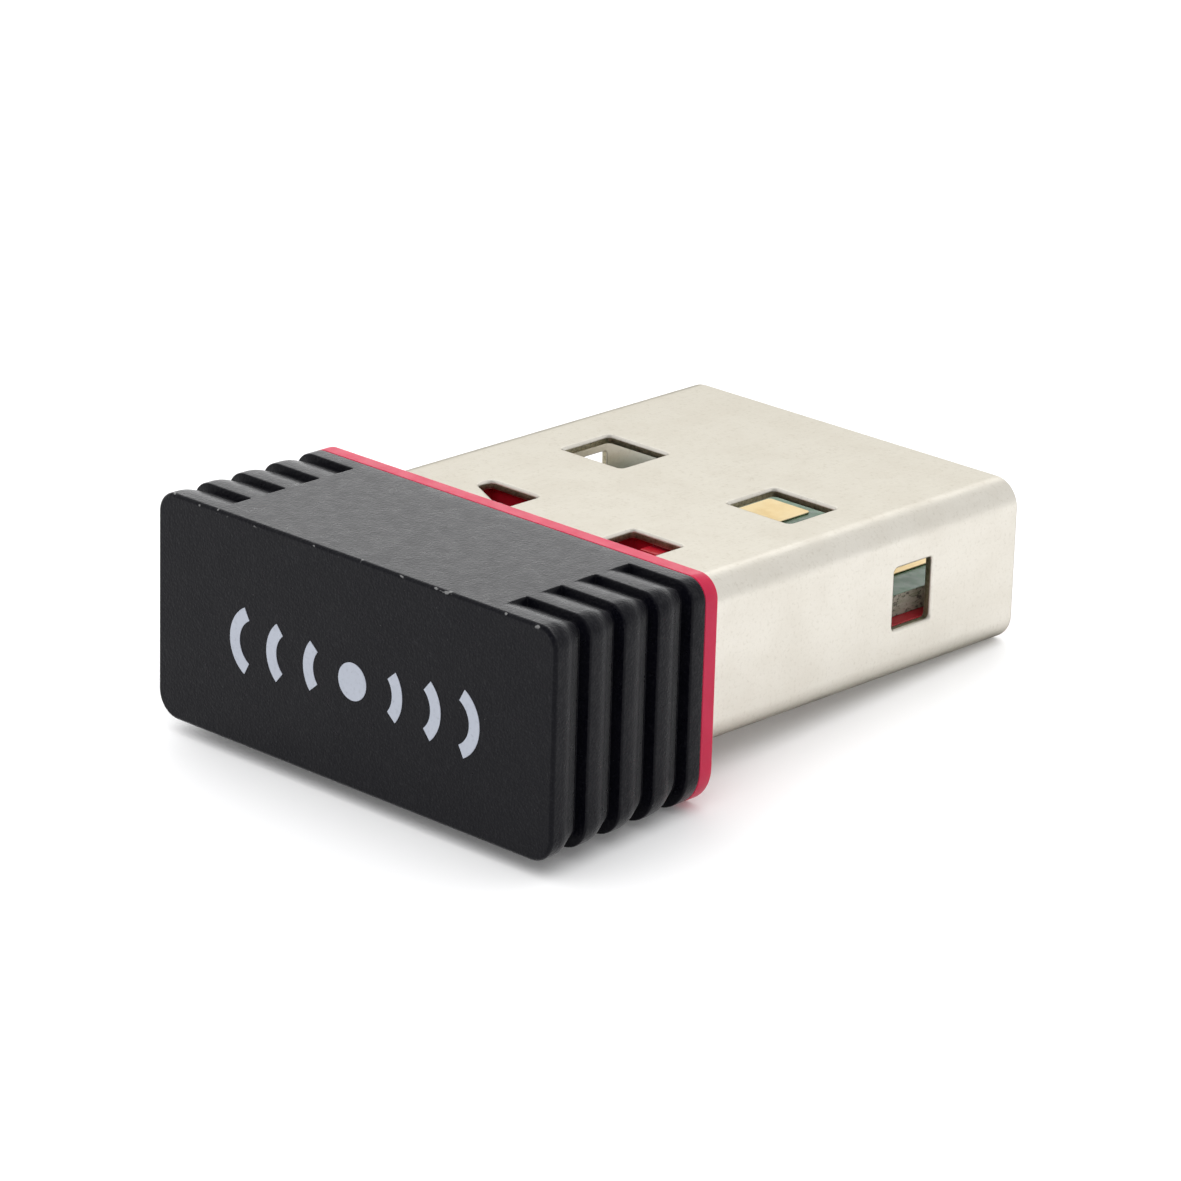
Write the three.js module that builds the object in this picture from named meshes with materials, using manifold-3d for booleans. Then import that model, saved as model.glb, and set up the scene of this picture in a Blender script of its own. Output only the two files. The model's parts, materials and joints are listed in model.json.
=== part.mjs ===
// A nano USB Wi-Fi adapter: a push-fit grip cap, a moulded carrier with a thin flange, a folded
// sheet-metal USB-A plug, and one circuit board that runs from inside the cap to the plug's mouth.
//
// Millimetres. +X is across the width, +Y runs from the cap's blunt end to the plug's mouth, and
// +Z is up, with the board's contacts facing up. The origin is the centre of the footprint, on the
// plane that the cap and the flange rest on.

import * as THREE from "three";
import { mergeVertices } from "three/addons/utils/BufferGeometryUtils.js";
import Module from "manifold-3d";

const wasm = await Module();
wasm.setup();

// ---------------------------------------------------------------- driving dimensions

const LENGTH = 18.7;
const HEAD_WIDTH = 14.2; // cap and flange
const HEAD_HEIGHT = 6.15;
const HEAD_DEPTH = 5.75; // cap and flange together, along Y
const HEAD_CORNER = 0.6; // the upper corners
const UNDER_CORNER = { end: 0.7, flange: 1.1 }; // the lower ones get rounder towards the flange
const FLANGE_THICKNESS = 0.45;

const PLUG_WIDTH = 12.0; // USB-A plug body, outside
const PLUG_HEIGHT = 4.5;
const PLUG_BEND = 0.75; // outside bend radius
const SHEET = 0.25;
const PLUG_BASE = 0.95; // underside of the plug above the resting plane

const TOOTH_PITCH = 1.2;
const TOOTH_FLAT = 0.55; // each grip tooth is level this far, then slopes in towards the plug
const TOOTH_COUNT = 4;
const TOOTH_DEPTH_SIDE = 0.38;
const TOOTH_DEPTH_FACE = 0.24; // on the cap's top and underside
const GRIP_REACH = 2.15; // how far the teeth run in over the top and underside

const CAP_WALL_SIDE = 1.0;
const CAP_WALL_FACE = 0.85;
const CAP_END_WALL = 0.9;
const LEDGE_WIDTH = 0.9; // board ledges inside the cap
const SPIGOT_LENGTH = 1.4; // the carrier's ring that the cap pushes over
const SPIGOT_WALL = 0.7;
const PUSH_FIT = 0.04; // clearance between the spigot and the cap
const SLIDE_FIT = 0.03; // clearance around the board and inside the plug

const BOARD_THICKNESS = 0.6;
const BOARD_RISE = 2.1; // top of the board above the plug's underside
const BOARD_WIDTH = 10.6; // inside the plug
const BOARD_HEAD_WIDTH = 11.6; // inside the cap
const BOARD_END_GAP = 0.3; // from the board's ends to the cap's end wall and the plug's mouth
const SLOT_HEADROOM = 0.05;

const COLLAR_LENGTH = 3.0; // solid part of the carrier, just inside the plug
const TRAY_FLOOR = 0.3;
const RAIL_WIDTH = 0.7;
const NOSE_LENGTH = 0.65;
const TRAY_SETBACK = 0.25; // from the tray's nose to the plug's mouth

const WINDOW = { x: [-2.88, 3.1], y: 6.78, width: 2.2, length: 1.85 }; // y is from the flange
const SIDE_WINDOW = { y: 8.78, z: 2.35, length: 1.5, height: 1.7 }; // z is above the plug's underside
const CUT_LATCH = { x: [-3.4, -1.6], y: [1.2, 2.1, 2.62] }; // one corner is cut off between the y's
const SQUARE_LATCH = { x: 2.67, y: 1.75, width: 1.76, length: 1.6 };
const LATCH_BLOCK = { x: [2.35, 2.95], length: 0.45, drop: 0.05 }; // stands in the square pocket
const WINDOW_CORNER = 0.12;
const LATCH_POCKET_DEPTH = 1.0;
const POCKET_MARGIN = 0.12; // the carrier's pockets are this much larger than the latch holes
const SEAM_GAP = 0.06;
const DOVETAIL = { y: 6.2, neck: 0.7, head: 1.3, reach: 0.8 };

const CONTACT_WIDTH = 1.5;
const CONTACT_THICKNESS = 0.05;
const CONTACT_START = 4.7; // from the flange
const OUTER_CONTACT = { x: 3.5, setback: 0.45 }; // setback is from the plug's mouth
const INNER_CONTACT = { x: 1.35, setback: 0.75 };

const ARC_STEPS = 7; // an arc is drawn with twice this many edges
const SMALL_ARC_STEPS = 2; // for the corners of windows, pads and lids
const OVERCUT = 1; // how far a cutter runs past the solid that it cuts

// ---------------------------------------------------------------- places worked out from them

const BACK_Y = -LENGTH / 2;
const MOUTH_Y = LENGTH / 2;
const FACE_Y = BACK_Y + HEAD_DEPTH; // the flange's plug side
const SEAM_Y = FACE_Y - FLANGE_THICKNESS; // where the cap meets the flange
const SPIGOT_Y = SEAM_Y - SPIGOT_LENGTH;
const HEAD_MIDDLE = HEAD_HEIGHT / 2;
const PLUG_MIDDLE = PLUG_BASE + PLUG_HEIGHT / 2;
const PLUG_TOP = PLUG_BASE + PLUG_HEIGHT;
const BOARD_TOP = PLUG_BASE + BOARD_RISE;
const BOARD_UNDER = BOARD_TOP - BOARD_THICKNESS;
const CAVITY = { width: HEAD_WIDTH - 2 * CAP_WALL_SIDE, height: HEAD_HEIGHT - 2 * CAP_WALL_FACE };
const CAVITY_CORNER = 0.4;
const CARRIER_WIDTH = PLUG_WIDTH - 2 * (SHEET + SLIDE_FIT);
const CARRIER_HEIGHT = PLUG_HEIGHT - 2 * (SHEET + SLIDE_FIT);
const CARRIER_CORNER = PLUG_BEND - SHEET - SLIDE_FIT;
const TRAY_TOP = PLUG_BASE + SHEET + SLIDE_FIT + TRAY_FLOOR;

// ---------------------------------------------------------------- solids

// A closed three.js geometry as a manifold solid.
function solid(geometry) {
  const bare = geometry.clone();
  bare.deleteAttribute("normal");
  bare.deleteAttribute("uv");
  const merged = mergeVertices(bare, 1e-5);
  return new wasm.Manifold(
    new wasm.Mesh({
      numProp: 3,
      vertProperties: merged.attributes.position.array,
      triVerts: new Uint32Array(merged.index.array),
    }),
  );
}

function box([x0, x1], [y0, y1], [z0, z1]) {
  const geometry = new THREE.BoxGeometry(x1 - x0, y1 - y0, z1 - z0);
  return solid(geometry.translate((x0 + x1) / 2, (y0 + y1) / 2, (z0 + z1) / 2));
}

// The lower corners have their own radius where one is given.
function roundedRectangle(width, height, upper, centreX = 0, centreY = 0, lower = upper) {
  const shape = new THREE.Shape();
  [[1, 1], [-1, 1], [-1, -1], [1, -1]].forEach(([sideX, sideY], quarter) => {
    const radius = sideY > 0 ? upper : lower;
    const x = centreX + sideX * (width / 2 - radius);
    const y = centreY + sideY * (height / 2 - radius);
    const start = (quarter * Math.PI) / 2;
    shape.absarc(x, y, radius, start, start + Math.PI / 2);
  });
  return shape;
}

// A shape drawn in X and Z, extruded from y0 to y1.
function alongY(shape, [y0, y1]) {
  const geometry = new THREE.ExtrudeGeometry(shape, {
    depth: y1 - y0,
    bevelEnabled: false,
    curveSegments: ARC_STEPS,
  });
  return geometry.rotateX(Math.PI / 2).translate(0, y1, 0);
}

// A shape drawn in X and Y, extruded from z0 to z1.
function alongZ(shape, [z0, z1]) {
  const geometry = new THREE.ExtrudeGeometry(shape, {
    depth: z1 - z0,
    bevelEnabled: false,
    curveSegments: SMALL_ARC_STEPS,
  });
  return geometry.translate(0, 0, z0);
}

function mesh(name, body, material) {
  const { vertProperties, triVerts } = body.getMesh();
  const geometry = new THREE.BufferGeometry();
  geometry.setAttribute("position", new THREE.BufferAttribute(vertProperties, 3));
  geometry.setIndex(new THREE.BufferAttribute(triVerts, 1));
  geometry.computeVertexNormals();
  const made = new THREE.Mesh(geometry, material);
  made.name = name;
  return made;
}

function finish(color, roughness, metalness = 0) {
  return new THREE.MeshStandardMaterial({ color, roughness, metalness });
}

const MATERIALS = {
  blackAbs: finish(0x2a2b2e, 0.6),
  redAbs: finish(0xd8415c, 0.45),
  nickel: finish(0xe4e0d4, 0.3, 1),
  board: finish(0x3f7a4c, 0.5),
  gold: finish(0xe6c27a, 0.3, 1),
  copper: finish(0xb87333, 0.4, 1),
  epoxy: finish(0x1c1c1e, 0.55),
  alumina: finish(0xd9d4c8, 0.6),
  capacitor: finish(0xb08a5e, 0.5),
  resistor: finish(0x202226, 0.4),
  ferrite: finish(0x4a4a4c, 0.7),
};

// ---------------------------------------------------------------- cap

// The cap's outline from y0 to y1, about its middle height. Scaling a lower corner about its tip
// changes its radius, which grows evenly from the blunt end to the flange.
function headSlab([y0, y1]) {
  const drawn = UNDER_CORNER.flange;
  const outline = roundedRectangle(HEAD_WIDTH, HEAD_HEIGHT, HEAD_CORNER, 0, 0, drawn);
  const geometry = alongY(outline, [y0, y1]);
  const place = geometry.attributes.position;
  const tip = { x: HEAD_WIDTH / 2, z: -HEAD_HEIGHT / 2 };
  for (let i = 0; i < place.count; i++) {
    const [x, y, z] = [place.getX(i), place.getY(i), place.getZ(i)];
    const inCorner = Math.abs(x) > tip.x - drawn - 1e-6 && z < tip.z + drawn + 1e-6;
    if (inCorner) {
      const share = Math.min(1, (y - BACK_Y) / (SEAM_Y - BACK_Y));
      const radius = UNDER_CORNER.end + share * (drawn - UNDER_CORNER.end);
      const scale = radius / drawn;
      place.setX(i, Math.sign(x) * (tip.x - (tip.x - Math.abs(x)) * scale));
      place.setZ(i, tip.z + (z - tip.z) * scale);
    }
  }
  return geometry;
}

// The cap's outline from y0 to y1, drawn in towards the plug by the full tooth depth.
function toothCore([y0, y1]) {
  const geometry = headSlab([y0, y1]);
  const place = geometry.attributes.position;
  for (let i = 0; i < place.count; i++) {
    const ramp = (place.getY(i) - y0) / (y1 - y0);
    place.setX(i, place.getX(i) * (1 - (ramp * 2 * TOOTH_DEPTH_SIDE) / HEAD_WIDTH));
    place.setZ(i, place.getZ(i) * (1 - (ramp * 2 * TOOTH_DEPTH_FACE) / HEAD_HEIGHT));
  }
  return solid(geometry.translate(0, 0, HEAD_MIDDLE));
}

function cap() {
  let body = solid(headSlab([BACK_Y, SEAM_Y]).translate(0, 0, HEAD_MIDDLE));

  const gripStart = HEAD_WIDTH / 2 - GRIP_REACH;
  const gripEnd = HEAD_WIDTH / 2 + OVERCUT;
  const heights = [-OVERCUT, HEAD_HEIGHT + OVERCUT];
  for (let tooth = 0; tooth < TOOTH_COUNT; tooth++) {
    const y0 = BACK_Y + tooth * TOOTH_PITCH;
    const slope = [y0 + TOOTH_FLAT, y0 + TOOTH_PITCH];
    const band = box([gripStart, gripEnd], slope, heights).add(
      box([-gripEnd, -gripStart], slope, heights),
    );
    body = body.subtract(band.subtract(toothCore(slope)));
  }

  const mouth = roundedRectangle(CAVITY.width, CAVITY.height, CAVITY_CORNER, 0, HEAD_MIDDLE);
  body = body.subtract(solid(alongY(mouth, [BACK_Y + CAP_END_WALL, SEAM_Y + OVERCUT])));

  // A ledge on each side holds the board's head level while the cap goes on.
  for (const side of [-1, 1]) {
    const wall = side * (CAVITY.width / 2 + CAP_WALL_SIDE / 2);
    const edge = side * (CAVITY.width / 2 - LEDGE_WIDTH);
    body = body.add(
      box(
        [Math.min(wall, edge), Math.max(wall, edge)],
        [BACK_Y + CAP_END_WALL / 2, SPIGOT_Y - PUSH_FIT],
        [CAP_WALL_FACE / 2, BOARD_UNDER - SLIDE_FIT],
      ),
    );
  }
  return mesh("cap", body, MATERIALS.blackAbs);
}

// ---------------------------------------------------------------- latch holes

function squareLatch(margin, levels) {
  const { x, y, width, length } = SQUARE_LATCH;
  const outline = roundedRectangle(
    width + 2 * margin,
    length + 2 * margin,
    WINDOW_CORNER,
    x,
    FACE_Y + y,
  );
  return solid(alongZ(outline, levels));
}

function cutLatch(levels) {
  const [x0, x1] = CUT_LATCH.x;
  const [y0, cut, y1] = CUT_LATCH.y;
  const outline = new THREE.Shape();
  const corners = [[x0, y1], [x0, cut], [x1, y0], [x1, y1]].map(
    ([x, y]) => new THREE.Vector2(x, FACE_Y + y),
  );
  corners.forEach((corner, i) => {
    const [before, after] = [corners.at(i - 1), corners[(i + 1) % corners.length]].map((other) =>
      other.clone().sub(corner).setLength(1.5 * WINDOW_CORNER).add(corner),
    );
    if (i === 0) outline.moveTo(before.x, before.y);
    else outline.lineTo(before.x, before.y);
    outline.quadraticCurveTo(corner.x, corner.y, after.x, after.y);
  });
  return solid(alongZ(outline, levels));
}

// ---------------------------------------------------------------- carrier

function latchPockets() {
  const surface = PLUG_TOP - SHEET - SLIDE_FIT;
  const depths = [surface - LATCH_POCKET_DEPTH, PLUG_TOP + OVERCUT];
  const { x, y } = CUT_LATCH;
  const pocket = box(
    [x[0] - POCKET_MARGIN, x[1] + POCKET_MARGIN],
    [FACE_Y + y[0] - POCKET_MARGIN, FACE_Y + y[2] + POCKET_MARGIN],
    depths,
  );
  const farWall = FACE_Y + SQUARE_LATCH.y + SQUARE_LATCH.length / 2 + POCKET_MARGIN;
  const block = box(
    LATCH_BLOCK.x,
    [farWall - LATCH_BLOCK.length, farWall + OVERCUT],
    [depths[0] - OVERCUT, surface - LATCH_BLOCK.drop],
  );
  return squareLatch(POCKET_MARGIN, depths).subtract(block).add(pocket);
}

function carrier() {
  const flange = roundedRectangle(
    HEAD_WIDTH,
    HEAD_HEIGHT,
    HEAD_CORNER,
    0,
    HEAD_MIDDLE,
    UNDER_CORNER.flange,
  );
  let body = solid(alongY(flange, [SEAM_Y, FACE_Y]));

  // The ring that the cap pushes over.
  const ringWidth = CAVITY.width - 2 * PUSH_FIT;
  const ringHeight = CAVITY.height - 2 * PUSH_FIT;
  const ring = roundedRectangle(ringWidth, ringHeight, CAVITY_CORNER, 0, HEAD_MIDDLE);
  const bore = roundedRectangle(
    ringWidth - 2 * SPIGOT_WALL,
    ringHeight - 2 * SPIGOT_WALL,
    CAVITY_CORNER,
    0,
    HEAD_MIDDLE,
  );
  body = body.add(solid(alongY(ring, [SPIGOT_Y, SEAM_Y])));
  body = body.subtract(solid(alongY(bore, [SPIGOT_Y - OVERCUT, SEAM_Y])));

  // The part inside the plug: a solid collar, then an open tray under the board.
  const inside = roundedRectangle(CARRIER_WIDTH, CARRIER_HEIGHT, CARRIER_CORNER, 0, PLUG_MIDDLE);
  let tongue = solid(alongY(inside, [FACE_Y, MOUTH_Y - TRAY_SETBACK]));
  const collarEnd = FACE_Y + COLLAR_LENGTH;
  const wide = [-PLUG_WIDTH, PLUG_WIDTH];
  tongue = tongue.subtract(box(wide, [collarEnd, MOUTH_Y], [BOARD_UNDER, PLUG_TOP + OVERCUT]));
  const well = CARRIER_WIDTH / 2 - RAIL_WIDTH;
  const wellEnd = MOUTH_Y - TRAY_SETBACK - NOSE_LENGTH;
  tongue = tongue.subtract(box([-well, well], [collarEnd, wellEnd], [TRAY_TOP, PLUG_TOP]));
  tongue = tongue.subtract(latchPockets());
  body = body.add(tongue);

  const slot = BOARD_WIDTH / 2 + SLIDE_FIT;
  const slotRun = [SPIGOT_Y - OVERCUT, MOUTH_Y];
  body = body.subtract(box([-slot, slot], slotRun, [BOARD_UNDER, BOARD_TOP + SLOT_HEADROOM]));
  return mesh("carrier", body, MATERIALS.redAbs);
}

// ---------------------------------------------------------------- plug

// The folded sheet's closing seam along the middle of the underside, with one dovetail.
function seam() {
  const cut = SEAM_GAP / 2;
  const levels = [PLUG_BASE - OVERCUT, PLUG_BASE + SHEET + OVERCUT / 4];
  const { neck, head, reach } = DOVETAIL;
  const y = FACE_Y + DOVETAIL.y;
  const path = [
    [0, FACE_Y - OVERCUT],
    [0, y - neck / 2],
    [reach, y - head / 2],
    [reach, y + head / 2],
    [0, y + neck / 2],
    [0, MOUTH_Y + OVERCUT],
  ];
  let body = null;
  for (let i = 1; i < path.length; i++) {
    const [from, to] = [path[i - 1], path[i]];
    const run = Math.hypot(to[0] - from[0], to[1] - from[1]);
    const turn = Math.atan2(to[1] - from[1], to[0] - from[0]);
    const slit = new THREE.BoxGeometry(run + SEAM_GAP, 2 * cut, levels[1] - levels[0]);
    slit.rotateZ(turn);
    slit.translate((from[0] + to[0]) / 2, (from[1] + to[1]) / 2, (levels[0] + levels[1]) / 2);
    body = body ? body.add(solid(slit)) : solid(slit);
  }
  return body;
}

function plugShell() {
  const outside = roundedRectangle(PLUG_WIDTH, PLUG_HEIGHT, PLUG_BEND, 0, PLUG_MIDDLE);
  const inside = roundedRectangle(
    PLUG_WIDTH - 2 * SHEET,
    PLUG_HEIGHT - 2 * SHEET,
    PLUG_BEND - SHEET,
    0,
    PLUG_MIDDLE,
  );
  let body = solid(alongY(outside, [FACE_Y, MOUTH_Y]));
  body = body.subtract(solid(alongY(inside, [FACE_Y - OVERCUT, MOUTH_Y + OVERCUT])));

  // Spring windows, two in the top and two in the underside.
  for (const x of WINDOW.x) {
    const window = roundedRectangle(WINDOW.width, WINDOW.length, WINDOW_CORNER, x, FACE_Y + WINDOW.y);
    body = body.subtract(solid(alongZ(window, [PLUG_BASE - OVERCUT, PLUG_TOP + OVERCUT])));
  }

  // One window through each side wall.
  const { y, z, length, height } = SIDE_WINDOW;
  const sideWindow = alongZ(roundedRectangle(height, length, WINDOW_CORNER), [
    -PLUG_WIDTH,
    PLUG_WIDTH,
  ]);
  sideWindow.rotateY(Math.PI / 2).translate(0, FACE_Y + y, PLUG_BASE + z);
  body = body.subtract(solid(sideWindow));

  // Latch holes in the top, close to the flange.
  const through = [PLUG_TOP - 2 * SHEET, PLUG_TOP + OVERCUT];
  body = body.subtract(cutLatch(through)).subtract(squareLatch(0, through));

  return mesh("plug_shell", body.subtract(seam()), MATERIALS.nickel);
}

// ---------------------------------------------------------------- board and contacts

function board() {
  const back = BACK_Y + CAP_END_WALL + BOARD_END_GAP;
  const shoulder = SPIGOT_Y - SLIDE_FIT;
  const front = MOUTH_Y - BOARD_END_GAP - PUSH_FIT;
  const levels = [BOARD_UNDER, BOARD_TOP];
  const head = BOARD_HEAD_WIDTH / 2;
  const tongue = BOARD_WIDTH / 2;
  const body = box([-head, head], [back, shoulder], levels).add(
    box([-tongue, tongue], [shoulder - OVERCUT, front], levels),
  );
  return mesh("circuit_board", body, MATERIALS.board);
}

function contacts() {
  const places = [
    ["ground_contact", -OUTER_CONTACT.x, OUTER_CONTACT.setback],
    ["data_plus_contact", -INNER_CONTACT.x, INNER_CONTACT.setback],
    ["data_minus_contact", INNER_CONTACT.x, INNER_CONTACT.setback],
    ["power_contact", OUTER_CONTACT.x, OUTER_CONTACT.setback],
  ];
  return places.map(([name, x, setback]) => {
    const middle = (FACE_Y + CONTACT_START + MOUTH_Y - setback) / 2;
    const run = MOUTH_Y - setback - FACE_Y - CONTACT_START;
    const pad = roundedRectangle(CONTACT_WIDTH, run, WINDOW_CORNER, x, middle);
    const body = solid(alongZ(pad, [BOARD_TOP, BOARD_TOP + CONTACT_THICKNESS]));
    return mesh(name, body, MATERIALS.gold);
  });
}

// The antenna: a copper strip that runs to and fro along the board's blunt end.
function antenna() {
  const [strip, pitch, turns] = [0.3, 0.62, 11];
  const [near, far] = [-7.95, -6.55];
  const start = 1.9;
  const levels = [BOARD_TOP, BOARD_TOP + CONTACT_THICKNESS];
  let body = null;
  for (let i = 0; i < turns; i++) {
    const x = start - i * pitch;
    const bar = box([x - strip / 2, x + strip / 2], [near, far], levels);
    const end = i % 2 ? near : far - strip;
    const bridge = box([x - pitch, x], [end, end + strip], levels);
    body = body ? body.add(bar) : bar;
    body = i < turns - 1 ? body.add(bridge) : body;
  }
  // The feed strip, from the first bar towards the matching parts.
  body = body.add(box([start, start + 1.0], [near, near + strip], levels));
  return mesh("printed_antenna", body, MATERIALS.copper);
}

// ---------------------------------------------------------------- parts on the board

const CHIP_0402 = { width: 1.0, depth: 0.5, height: 0.5 };
const CHIP_0603 = { width: 1.6, depth: 0.8, height: 0.8 };
const RESISTOR_0402 = { width: 1.0, depth: 0.5, height: 0.35 };
const WIFI_CHIP = { width: 6.5, depth: 4.5, height: 0.85 };
const INDUCTOR = { width: 2.0, depth: 1.6, height: 0.9 };
const FILTER = { width: 1.6, depth: 0.8, height: 0.6 };
const CRYSTAL = { width: 2.5, depth: 2.0, height: 0.35 };
const CRYSTAL_LID = { width: 2.1, depth: 1.6, height: 0.2 };
const TOP = 1;
const UNDER = -1;

// name, size, centre x, centre y, side of the board, turned a quarter, material
const PARTS = [
  ["wifi_chip", WIFI_CHIP, 0, 3.3, UNDER, false, "epoxy"],
  ["power_inductor", INDUCTOR, -3.3, 6.9, UNDER, false, "ferrite"],
  ["supply_capacitor_1", CHIP_0603, -0.6, 7.2, UNDER, false, "capacitor"],
  ["supply_capacitor_2", CHIP_0603, 1.6, 7.2, UNDER, false, "capacitor"],
  ["bypass_capacitor_1", CHIP_0402, 4.1, 1.8, UNDER, true, "capacitor"],
  ["bypass_capacitor_2", CHIP_0402, 4.1, 3.3, UNDER, true, "capacitor"],
  ["bypass_capacitor_3", CHIP_0402, 4.1, 4.8, UNDER, true, "capacitor"],
  ["bypass_capacitor_4", CHIP_0402, -4.1, 1.8, UNDER, true, "capacitor"],
  ["bypass_capacitor_5", CHIP_0402, -4.1, 3.3, UNDER, true, "capacitor"],
  ["bias_resistor", RESISTOR_0402, -4.1, 4.8, UNDER, true, "resistor"],
  ["data_resistor_1", RESISTOR_0402, 3.9, 6.6, UNDER, false, "resistor"],
  ["data_resistor_2", RESISTOR_0402, 3.9, 7.5, UNDER, false, "resistor"],
  ["reset_resistor", RESISTOR_0402, -1.5, 0.2, UNDER, false, "resistor"],
  ["reset_capacitor", CHIP_0402, 0.3, 0.2, UNDER, false, "capacitor"],
  ["crystal_base", CRYSTAL, -3.0, -5.25, TOP, false, "alumina"],
  ["crystal_capacitor_1", CHIP_0402, -1.1, -4.65, TOP, true, "capacitor"],
  ["crystal_capacitor_2", CHIP_0402, -0.3, -4.65, TOP, true, "capacitor"],
  ["rf_filter", FILTER, 2.4, -5.0, TOP, true, "alumina"],
  ["matching_inductor", RESISTOR_0402, 3.3, -7.8, TOP, false, "alumina"],
  ["matching_capacitor", CHIP_0402, 4.6, -7.0, TOP, true, "capacitor"],
  ["tuning_capacitor", CHIP_0402, 3.4, -6.6, TOP, false, "capacitor"],
];

function boardPart([name, size, x, y, side, turned, material]) {
  const [width, depth] = turned ? [size.depth, size.width] : [size.width, size.depth];
  const face = side === TOP ? BOARD_TOP : BOARD_UNDER;
  const levels = [face, face + side * size.height].sort((a, b) => a - b);
  const body = box([x - width / 2, x + width / 2], [y - depth / 2, y + depth / 2], levels);
  return mesh(name, body, MATERIALS[material]);
}

function crystalLid() {
  const [, base, x, y] = PARTS.find(([name]) => name === "crystal_base");
  const { width, depth, height } = CRYSTAL_LID;
  const lid = roundedRectangle(width, depth, WINDOW_CORNER, x, y);
  const foot = BOARD_TOP + base.height;
  return mesh("crystal_lid", solid(alongZ(lid, [foot, foot + height])), MATERIALS.nickel);
}

// ---------------------------------------------------------------- the adapter

const adapter = new THREE.Group();
adapter.add(cap(), carrier(), plugShell(), board(), ...contacts(), antenna());
adapter.add(...PARTS.map(boardPart), crystalLid());

export default adapter;
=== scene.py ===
"""The looks of a nano USB Wi-Fi adapter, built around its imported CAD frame.

Metres, in the frame of the CAD: +X across the width, +Y from the cap's blunt end to the plug's mouth,
+Z up. Sizes written here are the same driving sizes as in the CAD; places come from the frame.
"""

import json
import math

import bmesh
import bpy
from mathutils import Matrix, Vector


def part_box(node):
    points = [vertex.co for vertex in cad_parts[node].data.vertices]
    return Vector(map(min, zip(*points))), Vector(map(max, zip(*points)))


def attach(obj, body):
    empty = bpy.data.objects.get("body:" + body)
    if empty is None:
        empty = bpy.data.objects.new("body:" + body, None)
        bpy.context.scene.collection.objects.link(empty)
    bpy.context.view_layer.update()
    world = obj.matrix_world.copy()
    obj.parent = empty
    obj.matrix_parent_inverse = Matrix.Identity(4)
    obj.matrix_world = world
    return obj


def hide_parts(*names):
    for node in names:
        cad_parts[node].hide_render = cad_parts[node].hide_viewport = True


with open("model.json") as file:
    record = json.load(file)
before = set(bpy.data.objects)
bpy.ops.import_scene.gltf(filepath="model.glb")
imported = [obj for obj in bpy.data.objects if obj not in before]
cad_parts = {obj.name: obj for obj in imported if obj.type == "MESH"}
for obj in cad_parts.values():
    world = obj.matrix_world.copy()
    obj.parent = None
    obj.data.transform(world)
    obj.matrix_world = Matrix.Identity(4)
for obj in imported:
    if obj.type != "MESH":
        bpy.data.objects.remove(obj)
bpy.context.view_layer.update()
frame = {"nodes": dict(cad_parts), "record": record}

MM = 0.001

# ---------------------------------------------------------------- places and sizes

CAP_LOW, CAP_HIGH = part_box("cap")
PLUG_LOW, PLUG_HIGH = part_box("plug_shell")
BOARD_LOW, BOARD_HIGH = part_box("circuit_board")

BACK_Y = CAP_LOW.y  # the cap's blunt end
SEAM_Y = CAP_HIGH.y  # where the cap meets the flange
FACE_Y = PLUG_LOW.y  # the flange's plug side
MOUTH_Y = PLUG_HIGH.y
HEAD_WIDTH = CAP_HIGH.x - CAP_LOW.x
HEAD_HEIGHT = CAP_HIGH.z - CAP_LOW.z
HEAD_MIDDLE = (CAP_HIGH.z + CAP_LOW.z) / 2
BOARD_TOP = BOARD_HIGH.z
BOARD_UNDER = BOARD_LOW.z

HEAD_CORNER = 0.6 * MM
UNDER_CORNER_END = 0.7 * MM
UNDER_CORNER_FLANGE = 1.1 * MM
TOOTH_PITCH = 1.2 * MM
TOOTH_FLAT = 0.55 * MM
TOOTH_COUNT = 4
TOOTH_DEPTH_SIDE = 0.38 * MM
TOOTH_DEPTH_FACE = 0.24 * MM
GRIP_REACH = 2.15 * MM
CAP_WALL_SIDE = 1.0 * MM
CAP_WALL_FACE = 0.85 * MM
CAP_END_WALL = 0.9 * MM
CAVITY_CORNER = 0.4 * MM
LEDGE_WIDTH = 0.9 * MM
LEDGE_END_Y = SEAM_Y - 1.44 * MM
SHEET = 0.25 * MM


# ---------------------------------------------------------------- material building blocks


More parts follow.
